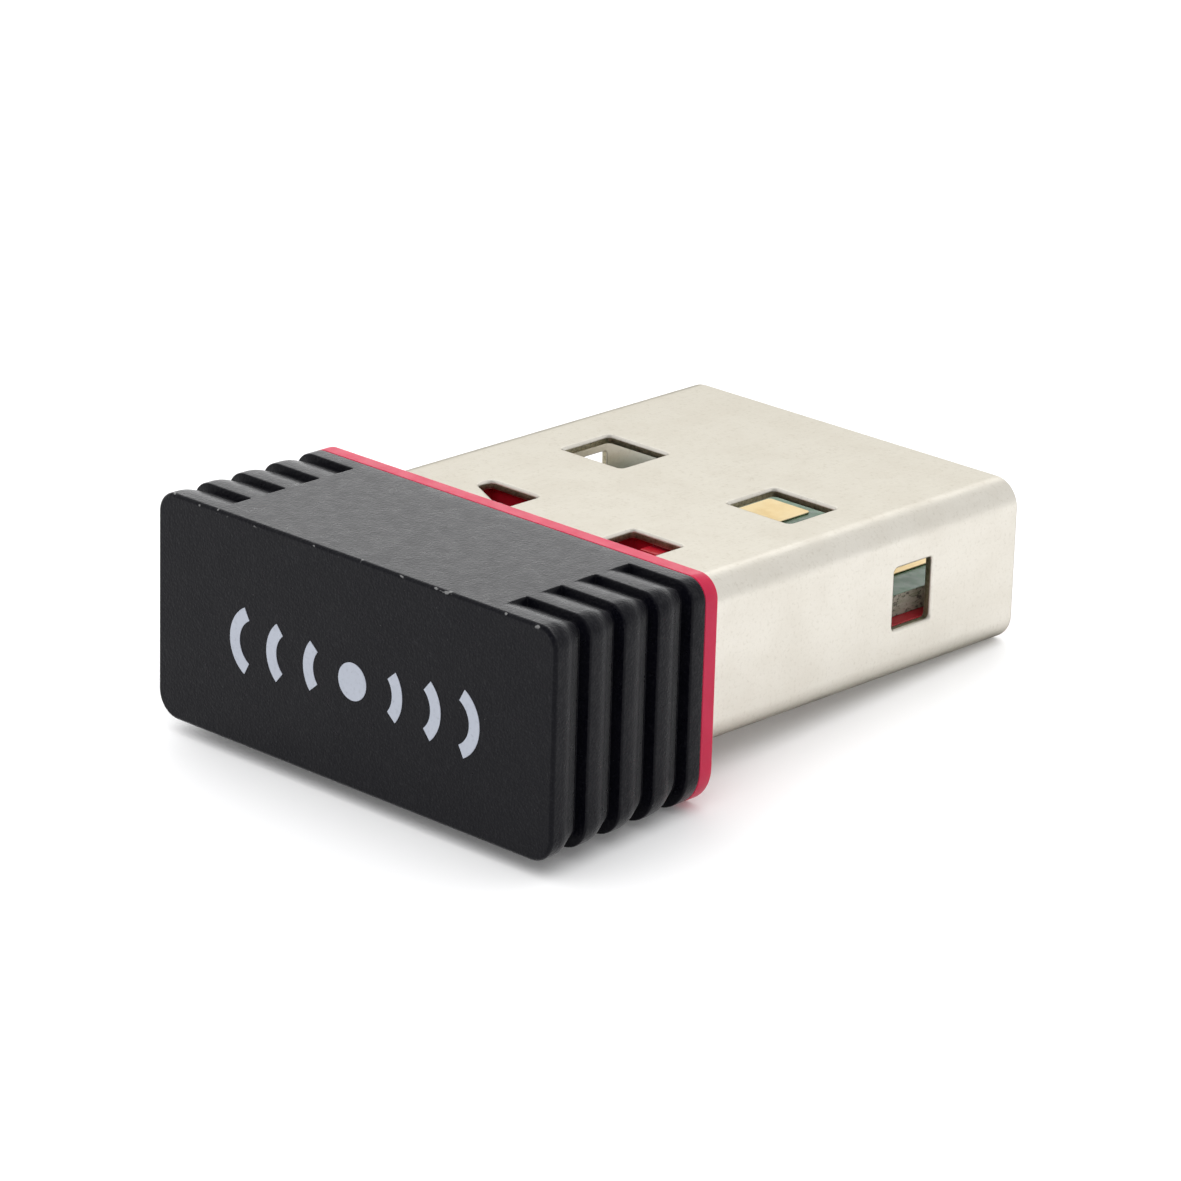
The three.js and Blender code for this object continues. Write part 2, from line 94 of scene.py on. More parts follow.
class Finish:
    """A Principled material, with short ways to add the nodes that vary it over the surface."""

    def __init__(self, name, color, roughness, metallic=0.0, **sockets):
        self.material = bpy.data.materials.new(name)
        self.material.use_nodes = True
        self.nodes = self.material.node_tree.nodes
        self.links = self.material.node_tree.links
        self.shader = self.nodes["Principled BSDF"]
        self.set("Base Color", (*color, 1.0))
        self.set("Roughness", roughness)
        self.set("Metallic", metallic)
        for socket, value in sockets.items():
            self.set(socket.replace("_", " "), value)
        self.place = self.nodes.new("ShaderNodeTexCoord").outputs["Object"]
        self.height = None

    def set(self, socket, value):
        self.shader.inputs[socket].default_value = value

    def link(self, source, target):
        self.links.new(source, target)

    def stretched(self, scale):
        """The object's coordinates, scaled apart along X, Y and Z."""
        node = self.nodes.new("ShaderNodeMapping")
        node.inputs["Scale"].default_value = scale
        self.link(self.place, node.inputs["Vector"])
        return node.outputs["Vector"]

    def noise(self, feature, detail=3.0, roughness=0.55, place=None, distortion=0.0):
        """Noise whose blotches are about as wide as feature, in metres."""
        node = self.nodes.new("ShaderNodeTexNoise")
        node.inputs["Scale"].default_value = 1.0 / feature
        node.inputs["Detail"].default_value = detail
        node.inputs["Roughness"].default_value = roughness
        node.inputs["Distortion"].default_value = distortion
        self.link(place or self.place, node.inputs["Vector"])
        return node.outputs["Fac"]

    def cells(self, feature, place=None):
        node = self.nodes.new("ShaderNodeTexVoronoi")
        node.inputs["Scale"].default_value = 1.0 / feature
        self.link(place or self.place, node.inputs["Vector"])
        return node.outputs["Distance"]

    def ramp(self, source, start, end, low=0.0, high=1.0):
        """source, from start to end, becomes low to high, and stays there outside."""
        node = self.nodes.new("ShaderNodeMapRange")
        node.interpolation_type = "SMOOTHSTEP"
        node.inputs["From Min"].default_value = start
        node.inputs["From Max"].default_value = end
        node.inputs["To Min"].default_value = low
        node.inputs["To Max"].default_value = high
        self.link(source, node.inputs["Value"])
        return node.outputs["Result"]

    def maths(self, operation, first, second):
        node = self.nodes.new("ShaderNodeMath")
        node.operation = operation
        for value, socket in ((first, node.inputs[0]), (second, node.inputs[1])):
            if isinstance(value, (int, float)):
                socket.default_value = value
            else:
                self.link(value, socket)
        return node.outputs["Value"]

    def attribute(self, name):
        node = self.nodes.new("ShaderNodeAttribute")
        node.attribute_name = name
        return node.outputs["Fac"]

    def along(self, axis):
        """The object's own X, Y or Z."""
        node = self.nodes.new("ShaderNodeSeparateXYZ")
        self.link(self.place, node.inputs["Vector"])
        return node.outputs[axis]

    def tint(self, amount, color):
        """Mixes color over the base colour so far, by amount."""
        node = self.nodes.new("ShaderNodeMix")
        node.data_type = "RGBA"
        target = self.shader.inputs["Base Color"]
        if target.is_linked:
            self.link(target.links[0].from_socket, node.inputs["A"])
        else:
            node.inputs["A"].default_value = target.default_value
        node.inputs["B"].default_value = (*color, 1.0)
        self.link(amount, node.inputs["Factor"])
        self.link(node.outputs["Result"], target)

    def vary_roughness(self, source, low, high, start=0.3, end=0.7):
        self.link(self.ramp(source, start, end, low, high), self.shader.inputs["Roughness"])

    def bump(self, source, depth, strength=1.0):
        """Adds a relief whose height is depth, in metres."""
        node = self.nodes.new("ShaderNodeBump")
        node.inputs["Strength"].default_value = strength
        node.inputs["Distance"].default_value = depth
        self.link(source, node.inputs["Height"])
        target = self.shader.inputs["Normal"]
        if target.is_linked:
            self.link(target.links[0].from_socket, node.inputs["Normal"])
        self.link(node.outputs["Normal"], target)


# ---------------------------------------------------------------- materials


def moulded_black():
    """Charcoal plastic with a spark-eroded texture, and small nicks on the blunt end's upper edge."""
    finish = Finish(
        "moulded_black",
        (0.0012, 0.0012, 0.0032),
        0.32,
        IOR=1.2,
        Sheen_Weight=0.2,
        Sheen_Roughness=0.3,
    )
    blotch = finish.noise(1.1 * MM, 5, 0.6)
    finish.tint(finish.ramp(blotch, 0.35, 0.7, 0.0, 0.5), (0.004, 0.004, 0.006))
    grain = finish.noise(0.06 * MM, 2.0, 0.6)
    finish.tint(finish.ramp(grain, 0.5, 0.75, 0.0, 0.8), (0.010, 0.010, 0.0125))
    relief = finish.maths("ADD", grain, finish.maths("MULTIPLY", finish.cells(0.08 * MM), 0.6))
    finish.bump(relief, 0.009 * MM, 0.8)
    finish.vary_roughness(finish.noise(0.3 * MM, 3), 0.27, 0.35)
    worn = finish.maths("MULTIPLY", finish.attribute("wear"), finish.noise(0.2 * MM, 4, 0.7))
    finish.tint(finish.ramp(worn, 0.45, 0.75, 0.0, 0.4), (0.02, 0.02, 0.022))
    dust = finish.noise(0.1 * MM, 1.0, 0.5, finish.stretched((1.0, 1.0, 1.3)))
    finish.tint(finish.ramp(dust, 0.8, 0.86, 0.0, 0.5), (0.12, 0.12, 0.12))
    end = finish.ramp(finish.along("Y"), BACK_Y + 0.08 * MM, BACK_Y + 0.15 * MM, 1.0, 0.0)
    top = finish.ramp(finish.along("Z"), CAP_HIGH.z - 0.14 * MM, CAP_HIGH.z - 0.07 * MM)
    nick = finish.ramp(finish.noise(0.3 * MM, 2), 0.65, 0.69)
    on_edge = finish.maths("MULTIPLY", end, top)
    finish.tint(finish.maths("MULTIPLY", on_edge, nick), (0.17, 0.17, 0.17))
    return finish.material


def moulded_red(name, color, second, gloss, ior):
    """Smooth red plastic that light enters a little. gloss is its mean roughness."""
    finish = Finish(
        name,
        color,
        gloss,
        IOR=ior,
        Subsurface_Weight=0.2,
        Subsurface_Radius=(1.0, 0.25, 0.2),
        Subsurface_Scale=0.3 * MM,
    )
    finish.tint(finish.ramp(finish.noise(0.9 * MM, 4), 0.35, 0.7, 0.0, 0.6), second)
    finish.bump(finish.noise(0.11 * MM, 3), 0.004 * MM, 0.7)
    finish.vary_roughness(finish.noise(0.5 * MM, 3), gloss - 0.06, gloss + 0.06)
    return finish.material


def nickel_plate():
    """Warm satin nickel over drawn sheet: a fine speckle, faint drawing lines and small scuffs."""
    finish = Finish("nickel_plate", (0.71, 0.68, 0.615), 0.36, 1.0)
    finish.set("Specular Tint", (0.17, 0.17, 0.155, 1.0))
    cloud = finish.noise(1.3 * MM, 5, 0.6)
    finish.tint(finish.ramp(cloud, 0.35, 0.7, 0.0, 0.6), (0.68, 0.645, 0.575))
    speck = finish.noise(0.1 * MM, 3, 0.65)
    finish.tint(finish.ramp(speck, 0.5, 0.75, 0.0, 0.6), (0.58, 0.545, 0.475))
    lines = finish.noise(0.1 * MM, 4, 0.7, finish.stretched((1.0, 0.08, 1.0)))
    finish.bump(lines, 0.0014 * MM, 0.5)
    finish.bump(speck, 0.003 * MM, 0.5)
    mark = finish.noise(0.9 * MM, 6, 0.8, finish.stretched((1.0, 0.5, 1.0)), 1.5)
    finish.tint(finish.ramp(mark, 0.64, 0.74, 0.0, 0.4), (0.52, 0.48, 0.41))
    finish.vary_roughness(finish.maths("ADD", cloud, lines), 0.31, 0.42, 0.7, 1.3)
    return finish.material


def punched_edge():
    """Where a punch broke through the sheet: duller, darker and torn along its depth."""
    finish = Finish("punched_edge", (0.34, 0.31, 0.215), 0.5, 1.0)
    finish.tint(finish.ramp(finish.noise(0.09 * MM, 4, 0.7), 0.4, 0.7, 0.0, 0.8), (0.17, 0.15, 0.10))
    finish.bump(finish.noise(0.05 * MM, 3, 0.6), 0.006 * MM, 0.8)
    finish.vary_roughness(finish.noise(0.1 * MM, 3), 0.42, 0.62)
    return finish.material


def solder_mask():
    finish = Finish("solder_mask", (0.055, 0.20, 0.085), 0.36, IOR=1.3)
    finish.tint(finish.ramp(finish.noise(0.8 * MM, 3), 0.4, 0.65, 0.0, 0.6), (0.042, 0.14, 0.068))
    weave = finish.cells(0.16 * MM, finish.stretched((1.0, 1.0, 0.2)))
    finish.bump(weave, 0.003 * MM, 0.35)
    finish.vary_roughness(finish.noise(0.3 * MM), 0.28, 0.42)
    return finish.material


def board_core():
    """The cut edge of the glass-fibre board: pale layers with dark torn specks."""
    finish = Finish("board_core", (0.36, 0.33, 0.27), 0.6)
    layers = finish.noise(0.12 * MM, 3, 0.6, finish.stretched((0.3, 0.3, 1.6)))
    finish.tint(finish.ramp(layers, 0.4, 0.7, 0.0, 0.8), (0.19, 0.21, 0.14))
    torn = finish.noise(0.1 * MM, 4, 0.75, finish.stretched((0.6, 0.6, 1.0)))
    finish.tint(finish.ramp(torn, 0.51, 0.62, 0.0, 0.9), (0.025, 0.023, 0.02))
    finish.bump(torn, 0.03 * MM, 0.8)
    return finish.material


def gold_plate():
    finish = Finish("gold_plate", (0.66, 0.55, 0.37), 0.34, 1.0)
    finish.set("Specular Tint", (0.45, 0.42, 0.33, 1.0))
    finish.tint(finish.ramp(finish.noise(0.7 * MM, 4), 0.4, 0.7, 0.0, 0.7), (0.60, 0.46, 0.27))
    finish.bump(finish.noise(0.07 * MM, 3, 0.6, finish.stretched((1.0, 0.05, 1.0))), 0.0012 * MM, 0.6)
    finish.vary_roughness(finish.noise(0.4 * MM, 3), 0.29, 0.36)
    return finish.material


def masked_copper():
    """Copper under the solder mask, seen as a lighter, warmer green."""
    finish = Finish("masked_copper", (0.15, 0.27, 0.07), 0.32, 0.25, Coat_Weight=0.3, Coat_Roughness=0.2)
    finish.tint(finish.ramp(finish.noise(0.5 * MM, 3), 0.4, 0.7), (0.22, 0.30, 0.07))
    finish.bump(finish.noise(0.1 * MM, 3), 0.003 * MM, 0.5)
    return finish.material


def moulded_epoxy():
    finish = Finish("moulded_epoxy", (0.016, 0.016, 0.017), 0.55)
    finish.tint(finish.ramp(finish.noise(0.5 * MM, 4), 0.4, 0.7), (0.026, 0.026, 0.028))
    finish.bump(finish.noise(0.045 * MM, 3, 0.6), 0.006 * MM, 0.7)
    finish.vary_roughness(finish.noise(0.3 * MM, 3), 0.45, 0.65)
    return finish.material


def ceramic(name, color, second, roughness=0.5):
    finish = Finish(name, color, roughness)
    finish.tint(finish.ramp(finish.noise(0.22 * MM, 4, 0.6), 0.38, 0.68), second)
    finish.bump(finish.noise(0.05 * MM, 3, 0.6), 0.004 * MM, 0.6)
    finish.vary_roughness(finish.noise(0.15 * MM, 3), roughness - 0.08, roughness + 0.1)
    return finish.material


def metal(name, color, second, roughness=0.3, grain=0.12 * MM):
    finish = Finish(name, color, roughness, 1.0)
    finish.tint(finish.ramp(finish.noise(0.4 * MM, 4), 0.38, 0.7), second)
    finish.bump(finish.noise(grain, 3, 0.6), 0.003 * MM, 0.6)
    finish.vary_roughness(finish.noise(0.2 * MM, 3), roughness - 0.08, roughness + 0.12)
    return finish.material


def pad_print():
    """Light grey ink, thinner and patchier where the pad pressed less."""
    finish = Finish("pad_print", (0.42, 0.45, 0.52), 0.5)
    finish.tint(finish.ramp(finish.noise(0.12 * MM, 4, 0.7), 0.5, 0.8, 0.0, 0.7), (0.25, 0.27, 0.31))
    finish.bump(finish.noise(0.075 * MM, 2.5, 0.65), 0.008 * MM, 0.6)
    finish.vary_roughness(finish.noise(0.2 * MM, 3), 0.42, 0.6)
    return finish.material


BLACK = moulded_black()
RED = moulded_red("moulded_red", (0.49, 0.026, 0.070), (0.42, 0.020, 0.054), 0.36, 1.2)
# The same red plastic, made darker: painted shade for the carrier's faces deep inside the plug, seen
# through the latch holes.
RED_SHADED_WITHIN = moulded_red("moulded_red_painted_shade", (0.40, 0.010, 0.022), (0.29, 0.006, 0.013), 0.2, 1.5)
NICKEL = nickel_plate()
PUNCHED = punched_edge()
MASK = solder_mask()
CORE = board_core()
GOLD = gold_plate()
TRACE = masked_copper()
EPOXY = moulded_epoxy()
ALUMINA = ceramic("alumina", (0.66, 0.63, 0.56), (0.55, 0.52, 0.45), 0.45)
CAPACITOR = ceramic("capacitor_body", (0.46, 0.29, 0.14), (0.36, 0.21, 0.09), 0.42)
RESISTOR = ceramic("resistor_body", (0.02, 0.021, 0.026), (0.03, 0.031, 0.036), 0.35)
FERRITE = ceramic("ferrite_body", (0.075, 0.075, 0.08), (0.11, 0.11, 0.115), 0.68)
TIN = metal("tinned_ends", (0.66, 0.66, 0.67), (0.5, 0.5, 0.52), 0.34)
LID = metal("crystal_lid_plate", (0.68, 0.66, 0.6), (0.56, 0.54, 0.5), 0.42, 0.3 * MM)
SOLDER = metal("solder_joint", (0.62, 0.63, 0.65), (0.48, 0.49, 0.52), 0.24)
INK = pad_print()


# ---------------------------------------------------------------- mesh building blocks


def make_object(name, vertices, faces, materials):
    mesh = bpy.data.meshes.new(name)
    mesh.from_pydata([tuple(v) for v in vertices], [], faces)
    for material in materials:
        mesh.materials.append(material)
    mesh.polygons.foreach_set("use_smooth", [True] * len(mesh.polygons))
    mesh.update()
    made = bpy.data.objects.new(name, mesh)
    bpy.context.scene.collection.objects.link(made)
    return made


def add_piece(piece, body="adapter", stands_for=()):
    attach(piece, body)
    if stands_for:
        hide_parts(*stands_for)
    return piece


def sharpen(piece, degrees=34):
    piece.data.set_sharp_from_angle(angle=math.radians(degrees))
    weighted = piece.modifiers.new("even_normals", "WEIGHTED_NORMAL")
    weighted.keep_sharp = True


def bevel(piece, width, segments=3, degrees=30, by_weight=False, material=-1):
    """Rounds the sharp edges, all alike or each by the weight stored on it."""
    modifier = piece.modifiers.new("rounded_edges", "BEVEL")
    modifier.width = width
    modifier.material = material
    modifier.segments = segments
    modifier.limit_method = "WEIGHT" if by_weight else "ANGLE"
    modifier.angle_limit = math.radians(degrees)
    modifier.miter_outer = "MITER_ARC"
    weighted = piece.modifiers.new("even_normals", "WEIGHTED_NORMAL")
    weighted.keep_sharp = by_weight
    return modifier


def weigh_edges(mesh_edit, weight_of, degrees):
    """Stores a bevel weight on each sharp edge, from a function of the edge's middle.

    An edge of no weight keeps its sharp shading.
    """
    layer = mesh_edit.edges.layers.float.new("bevel_weight_edge")
    for edge in mesh_edit.edges:
        edge.smooth = True
        if len(edge.link_faces) != 2 or edge.calc_face_angle(0) < math.radians(degrees):
            continue
        edge[layer] = weight_of((edge.verts[0].co + edge.verts[1].co) / 2)
        edge.smooth = edge[layer] > 0


def copy_of_node(node, name, materials, weight_of=None, paint=None, degrees=30):
    """The CAD node's shape as a new object, its flat faces joined up and ready for rounding.

    weight_of gives a bevel weight for each edge sharper than degrees, and paint a material's number
    for each face.
    """
    mesh_edit = bmesh.new()
    mesh_edit.from_mesh(frame["nodes"][node].data)
    bmesh.ops.remove_doubles(mesh_edit, verts=mesh_edit.verts, dist=1e-7)
    bmesh.ops.dissolve_limit(
        mesh_edit,
        angle_limit=math.radians(0.5),
        verts=mesh_edit.verts,
        edges=mesh_edit.edges,
    )
    if weight_of:
        weigh_edges(mesh_edit, weight_of, degrees)
    for face in mesh_edit.faces:
        face.smooth = True
        face.material_index = paint(face) if paint else 0
    mesh = bpy.data.meshes.new(name)
    mesh_edit.to_mesh(mesh)
    mesh_edit.free()
    for material in materials:
        mesh.materials.append(material)
    piece = bpy.data.objects.new(name, mesh)
    bpy.context.scene.collection.objects.link(piece)
    return piece


def rounded_path(corners, radii, steps=4):
    """The corners of an open line, each inner one replaced by a short curve."""
    path = [corners[0]]
    for before, corner, after, radius in zip(corners, corners[1:], corners[2:], radii[1:]):
        into = (before - corner).normalized() * min(radius, 0.45 * (before - corner).length)
        out = (after - corner).normalized() * min(radius, 0.45 * (after - corner).length)
        for step in range(steps + 1):
            t = step / steps
            path.append(corner + into * (1 - t) ** 2 + out * t**2)
    path.append(corners[-1])
    return path


# ---------------------------------------------------------------- cap

CAP_EDGE = 0.1 * MM  # rounding of the blunt end's edge
RIM_EDGE = 0.05 * MM
TOOTH_BEND = 0.25 * MM  # rounding where a tooth's level part turns into its slope
TOOTH_EDGE = 0.06 * MM
RISER_LEAN = 0.02 * MM  # how far a tooth's steep face leans
END_WALL_LEAN = 0.07 * MM  # the same for the walls that end the teeth on top
END_WALL_GUARD = 0.03 * MM  # keeps the shading of those walls off the plain middle
END_WALL_STEPS = 6
CORNER_STEPS = 12
EDGE_STEPS = 6
LEAD_IN = 0.12 * MM  # chamfer at the cavity's mouth and at its floor

FLAT_REACH = HEAD_WIDTH / 2 - UNDER_CORNER_FLANGE  # how far out the outline is level, at least
FLAT_RISE = HEAD_HEIGHT / 2 - UNDER_CORNER_FLANGE


class Rim:
    """One place round the cap's outline: a share of the way to each corner's centre, and a direction."""

    def __init__(self, across, up, degrees, flat=False):
        self.across = across
        self.up = up
        self.turn = math.radians(degrees)
        self.flat = flat

    def at(self, width, height, upper, lower, inset=0.0):
        corner = upper if self.up > 0 else lower
        reach, rise = width / 2 - corner, height / 2 - corner
        if self.flat:
            reach, rise = min(reach, FLAT_REACH), min(rise, FLAT_RISE)
        along_top = abs(self.up) == 1
        x = self.across * reach + (corner - inset) * math.cos(self.turn)
        z = self.up * rise + (corner - inset) * math.sin(self.turn)
        if self.flat and along_top:
            z = self.up * (height / 2 - inset)
        if self.flat and not along_top:
            x = self.across * (width / 2 - inset)
        return x, HEAD_MIDDLE + z

    def tooth_depth(self):
        side = math.cos(self.turn) ** 2
        return TOOTH_DEPTH_SIDE * side + TOOTH_DEPTH_FACE * (1 - side)

    def grip(self):
        """1 where the teeth are, 0 on the plain middle, and in between on the teeth's end walls."""
        if not self.flat or abs(self.up) < 1:
            return 1.0
        inner = HEAD_WIDTH / 2 - GRIP_REACH
        x = abs(self.across) * FLAT_REACH
        t = min(1.0, max(0.0, (x - inner) / END_WALL_LEAN + 0.5))
        return t * t * (3 - 2 * t)


def outline():
    """The places round the cap's outline, closer together where its shape changes."""
    inner = HEAD_WIDTH / 2 - GRIP_REACH
    steps = range(END_WALL_STEPS + 1)
    wall = [inner + END_WALL_LEAN * (step / END_WALL_STEPS - 0.5) for step in steps]
    wall = [wall[0] - END_WALL_GUARD, *wall, wall[-1] + END_WALL_GUARD]
    half = [x / FLAT_REACH for x in reversed(wall)]
    top = [0.98, *half, 0.6, 0.4, 0.2, 0.0]
    top = top + [-share for share in reversed(top[:-1])]
    side = [-0.95, -0.5, 0.0, 0.5, 0.95]
    quarter = [90 * step / CORNER_STEPS for step in range(CORNER_STEPS + 1)]
    places = [Rim(1, share, 0, flat=True) for share in side]
    places += [Rim(1, 1, turn) for turn in quarter]
    places += [Rim(share, 1, 90, flat=True) for share in top]
    places += [Rim(-1, 1, 90 + turn) for turn in quarter]
    places += [Rim(-1, -share, 180, flat=True) for share in side]
    places += [Rim(-1, -1, 180 + turn) for turn in quarter]
    places += [Rim(-share, -1, 270, flat=True) for share in top]
    places += [Rim(1, -1, 270 + turn) for turn in quarter]
    return places


def tooth_profile():
    """How the grip runs along Y: pairs of a place and the share of the tooth depth taken off there."""
    scale = TOOTH_DEPTH_SIDE
    corners = [(BACK_Y + CAP_EDGE, 0.0, 0.0)]
    for tooth in range(TOOTH_COUNT):
        y = BACK_Y + tooth * TOOTH_PITCH
        corners.append((y + TOOTH_FLAT, 0.0, TOOTH_BEND))
        corners.append((y + TOOTH_PITCH - RISER_LEAN, scale, TOOTH_EDGE))
        corners.append((y + TOOTH_PITCH + RISER_LEAN, 0.0, TOOTH_EDGE))
    corners.append((SEAM_Y - RIM_EDGE, 0.0, 0.0))
    points = [Vector(corner[:2]) for corner in corners]
    path = rounded_path(points, [corner[2] for corner in corners], 5)
    return [(point.x, point.y / scale) for point in path]


def cap():
    places = outline()
    rings = []
    wear = []

    def add_ring(y, inset_of, size, worn=0.0):
        points = [place.at(*size, inset_of(place)) for place in places]
        rings.append([(x, y, z) for x, z in points])
        wear.extend([worn] * len(places))

    def outer_ring(y, inset_of, worn=0.0):
        share = (y - BACK_Y) / (SEAM_Y - BACK_Y)
        lower = UNDER_CORNER_END + share * (UNDER_CORNER_FLANGE - UNDER_CORNER_END)
        add_ring(y, inset_of, (HEAD_WIDTH, HEAD_HEIGHT, HEAD_CORNER, lower), worn)

    for step in range(EDGE_STEPS + 1):
        turn = math.radians(90 * step / EDGE_STEPS)
        inset = CAP_EDGE * (1 - math.sin(turn))
        outer_ring(BACK_Y + CAP_EDGE * (1 - math.cos(turn)), lambda place: inset, 0.9)
    for y, share in tooth_profile():
        worn = max(0.0, 1 - 4 * share)
        outer_ring(y, lambda place: share * place.grip() * place.tooth_depth(), worn)
    for step in range(1, EDGE_STEPS + 1):
        turn = math.radians(90 * step / EDGE_STEPS)
        inset = RIM_EDGE * (1 - math.cos(turn))
        outer_ring(SEAM_Y - RIM_EDGE * (1 - math.sin(turn)), lambda place: inset)

    width, height = HEAD_WIDTH - 2 * CAP_WALL_SIDE, HEAD_HEIGHT - 2 * CAP_WALL_FACE
    cavity = (width, height, CAVITY_CORNER, CAVITY_CORNER)
    add_ring(SEAM_Y, lambda place: -LEAD_IN, cavity)
    add_ring(SEAM_Y - LEAD_IN, lambda place: 0.0, cavity)
    add_ring(BACK_Y + CAP_END_WALL + LEAD_IN, lambda place: 0.0, cavity)
    add_ring(BACK_Y + CAP_END_WALL, lambda place: LEAD_IN, cavity)

    count = len(places)
    vertices = [point for ring in rings for point in ring]
    faces = [list(range(count))]
    for ring in range(len(rings) - 1):
        for i in range(count):
            after = (i + 1) % count
            low, high = ring * count, (ring + 1) * count
            faces.append([low + i, high + i, high + after, low + after])
    last = (len(rings) - 1) * count
    faces.append([last + i for i in reversed(range(count))])

    piece = make_object("grip_cap", vertices, faces, [BLACK])
    stored = piece.data.attributes.new("wear", "FLOAT", "POINT")
    stored.data.foreach_set("value", wear)
    sharpen(piece, 50)
    return add_piece(piece, "cap", ["cap"])


def cap_ledges():
    """The ledges inside the cap that hold the board's head level."""
    for side, side_name in ((-1, "left"), (1, "right")):
        wall = side * (HEAD_WIDTH / 2 - CAP_WALL_SIDE / 2)
        edge = side * (HEAD_WIDTH / 2 - CAP_WALL_SIDE - LEDGE_WIDTH)
        low = Vector((min(wall, edge), BACK_Y + CAP_END_WALL / 2, CAP_LOW.z + CAP_WALL_FACE / 2))
        high = Vector((max(wall, edge), LEDGE_END_Y, BOARD_UNDER - 0.03 * MM))
        mesh_edit = bmesh.new()
        block(mesh_edit, low, high)
        piece = piece_from(mesh_edit, "cap_ledge_" + side_name, [BLACK])
        bevel(piece, 0.06 * MM, 3)
        add_piece(piece, "cap")


# ---------------------------------------------------------------- carrier and plug


def carrier():
    """The red moulding. Its flange has the softest edges."""
    low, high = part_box("carrier")
    near = 0.02 * MM

    def weight(middle):
        on_outline = (
            middle.x < low.x + HEAD_CORNER
            or middle.x > high.x - HEAD_CORNER
            or middle.z < low.z + UNDER_CORNER_FLANGE / 2
            or middle.z > high.z - near
        )
        if on_outline:
            return 1.0 if middle.y > FACE_Y - near else 0.45
        return 0.35

    # Faces past the flange, inside the plug, take the darker copy of the red: painted shade on the same
    # plastic, not a second material.
    def paint(face):
        return 1 if face.calc_center_median().y > FACE_Y + near else 0

    piece = copy_of_node("carrier", "red_carrier", [RED, RED_SHADED_WITHIN], weight, paint)
    bevel(piece, 0.12 * MM, 4, by_weight=True)
    return add_piece(piece, stands_for=["carrier"])


def plug():
    """The folded plug. Its mouth is rounded, and its punched holes roll over on the outside."""
    near = 0.02 * MM
    bend = 0.8 * MM  # wider than the plug's bends
    seam = 1.5 * MM  # reaches past the dovetail on the underside, which stays sharp
    middle_z = (PLUG_LOW.z + PLUG_HIGH.z) / 2

    def side_depth(place):
        return PLUG_HIGH.x - abs(place.x)

    def face_depth(place):
        return PLUG_HIGH.z - middle_z - abs(place.z - middle_z)

    def weight(place):
        if place.y > MOUTH_Y - near:
            return 0.9
        on_seam = place.z < middle_z and abs(place.x) < seam
        if place.y < FACE_Y + near or on_seam:
            return 0.0
        return 0.9 if min(side_depth(place), face_depth(place)) < near else 0.2

    def paint(face):
        """The walls of the punched holes stand square in the sheet, away from its bends and ends."""
        place = face.calc_center_median()
        if not FACE_Y + bend < place.y < MOUTH_Y - bend:
            return 0
        in_face = near < face_depth(place) < SHEET - near and side_depth(place) > bend
        in_side = near < side_depth(place) < SHEET - near and face_depth(place) > bend
        return 1 if in_face or in_side else 0

    piece = copy_of_node("plug_shell", "folded_plug", [NICKEL, PUNCHED], weight, paint, 60)
    rounding = bevel(piece, 0.1 * MM, 3, by_weight=True, material=0)
    rounding.use_clamp_overlap = False
    rounding.loop_slide = False
    return add_piece(piece, stands_for=["plug_shell"])


# ---------------------------------------------------------------- board and its parts


CONTACTS = ("ground_contact", "data_plus_contact", "data_minus_contact", "power_contact")
TRACK_WIDTH = 0.2 * MM
TRACK_RISE = 0.012 * MM
VIAS = [(x * MM, y * MM) for x in (-5.2, 3.6, 4.4, 5.2) for y in (-5.8, -5.0)]
VIA_STEPS = 20
VIA_PROFILE = [(0.24, 0.0), (0.23, 0.016), (0.14, 0.018), (0.11, 0.004), (0.0, 0.003)]  # in mm
CHIP_END = 0.24  # each tinned end's share of a chip part's length
CHIP_BODY_SHY = 0.018 * MM  # how far the body lies inside the ends
SOLDER_REACH = 0.14 * MM
SOLDER_RISE = 0.55  # a fillet's share of the part's height
SOLDER_HALF_WIDTH = 0.46  # half a fillet's width, as a share of the part's
SOLDER_PROFILE = [(0, 0), (1, 0), (0.5, 0.12), (0.22, 0.36), (0.1, 0.7), (0, 1)]  # reach and height


def board():
    def paint(face):
        return 0 if abs(face.normal.z) > 0.9 else 1

    piece = copy_of_node("circuit_board", "green_board", [MASK, CORE], paint=paint)
    bevel(piece, 0.02 * MM, 2)
    return add_piece(piece, stands_for=["circuit_board"])


def strip(mesh_edit, points, half_width, bottom, top):
    """Adds a flat closed strip of even width along a line of points in X and Y, with mitred corners."""
    sides = []
    for i, point in enumerate(points):
        before = (point - points[i - 1]).normalized() if i else None
        after = (points[i + 1] - point).normalized() if i < len(points) - 1 else None
        along = (before + after).normalized() if before and after else before or after
        stretch = 1 / max(0.4, along.dot(before or after))
        across = Vector((-along.y, along.x)) * half_width * stretch
        sides.append((point + across, point - across))
    outline_points = [left for left, _ in sides] + [right for _, right in reversed(sides)]
    loops = []
    for x, y in outline_points:
        loops.append((mesh_edit.verts.new((x, y, bottom)), mesh_edit.verts.new((x, y, top))))
    count = len(loops)
    for i in range(len(sides) - 1):
        j = count - 1 - i
        mesh_edit.faces.new([loops[k][1] for k in (i, i + 1, j - 1, j)])
        mesh_edit.faces.new([loops[k][0] for k in (j, j - 1, i + 1, i)])
    for i in range(count):
        after = (i + 1) % count
        mesh_edit.faces.new([loops[i][0], loops[after][0], loops[after][1], loops[i][1]])


def middle_of(node):
    low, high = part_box(node)
    return (low + high) / 2


def shift(x, y):
    return Vector((x, y, 0)) * MM


